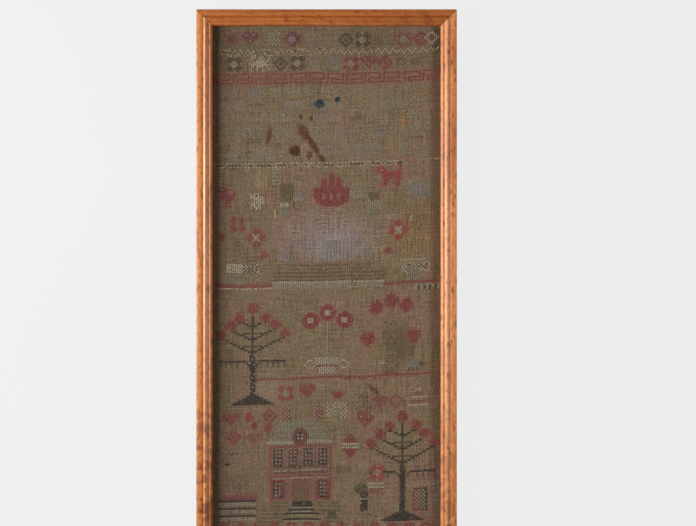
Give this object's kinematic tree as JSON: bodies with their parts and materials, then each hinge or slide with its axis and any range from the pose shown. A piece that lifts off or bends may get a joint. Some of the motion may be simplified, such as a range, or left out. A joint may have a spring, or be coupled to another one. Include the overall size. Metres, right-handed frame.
{
  "type": "framed cross stitch sampler on linen, in its mitred wooden frame",
  "caption": "Narrow upright cross stitch sampler on stretched linen cloth, in a mitred beaded wood frame with a rebate and plain backing board.",
  "frame": {"origin": "under the middle of the frame, on the plane of the frame's back faces", "axes": "+Z out of the stitched face, +Y towards the sampler's top, +X to the right as the sampler is read"},
  "size_m": [0.265, 0.58, 0.0212],
  "materials": {
    "wood": "shellacked figured maple, honey orange, satin gloss",
    "linen": "aged brown linen with faded cross stitch in wool and silk",
    "board": "bare thin softwood board"
  },
  "bodies": {
    "root": {"rail_top": "wood", "rail_bottom": "wood", "rail_left": "wood", "rail_right": "wood", "sampler_cloth": "linen", "backing_board": "board"}
  },
  "joints": []
}
